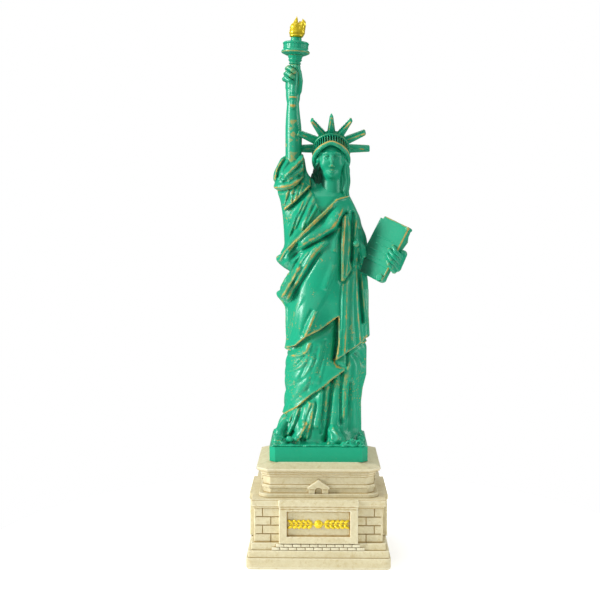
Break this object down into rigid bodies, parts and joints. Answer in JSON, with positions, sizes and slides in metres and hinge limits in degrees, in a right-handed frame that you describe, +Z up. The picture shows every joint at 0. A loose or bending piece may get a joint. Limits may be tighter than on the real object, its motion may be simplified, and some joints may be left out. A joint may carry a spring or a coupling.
{
  "type": "miniature landmark model",
  "caption": "Souvenir statuette of a robed torch bearer with rayed diadem and tablet, green paint with gilt highlights, on a stepped cream masonry pedestal.",
  "frame": {"origin": "centre of the underside of the foot slab, on the surface the object stands on", "axes": "+Z up through the pedestal, the front of the figure and the framed panel face -Y, the raised torch arm is on the -X side and the tablet on the +X side"},
  "size_m": [0.0915, 0.0792, 0.3042],
  "materials": {
    "cast_stone": "cast resin stone, matte, ochre wash in the joints",
    "patina_paint": "glossy green paint over cast resin, gold dry brushed on the ridges",
    "gilt_paint": "bright gold paint",
    "steel": "plain turned steel",
    "felt": "green wool felt"
  },
  "bodies": {
    "root": {"foot_slab": "cast_stone", "lower_step": "cast_stone", "upper_step": "cast_stone", "step_stones": "cast_stone", "brick_block": "cast_stone", "bay_front": "cast_stone", "bay_right": "cast_stone", "bay_rear": "cast_stone", "bay_left": "cast_stone", "plaque_relief": "gilt_paint", "cornice_slab": "cast_stone", "upper_tier": "cast_stone", "porch_front": "cast_stone", "porch_right": "cast_stone", "porch_rear": "cast_stone", "porch_left": "cast_stone", "cap_slab": "cast_stone", "figure_plinth": "patina_paint", "robed_body": "patina_paint", "head": "patina_paint", "neck_dowel": "steel", "diadem": "patina_paint", "crown_ray_1": "patina_paint", "crown_ray_2": "patina_paint", "crown_ray_3": "patina_paint", "crown_ray_4": "patina_paint", "crown_ray_5": "patina_paint", "crown_ray_6": "patina_paint", "crown_ray_7": "patina_paint", "raised_arm": "patina_paint", "arm_dowel": "steel", "torch_handle": "patina_paint", "torch_cup": "patina_paint", "torch_gallery": "patina_paint", "torch_lantern": "patina_paint", "torch_flame": "gilt_paint", "torch_pin": "steel", "left_forearm": "patina_paint", "forearm_dowel": "steel", "tablet": "patina_paint", "tablet_pin": "steel", "left_foot": "patina_paint", "broken_chain": "patina_paint", "tie_rod": "steel", "tie_washer": "steel", "tie_nut": "steel", "felt_pad": "felt"}
  },
  "joints": []
}
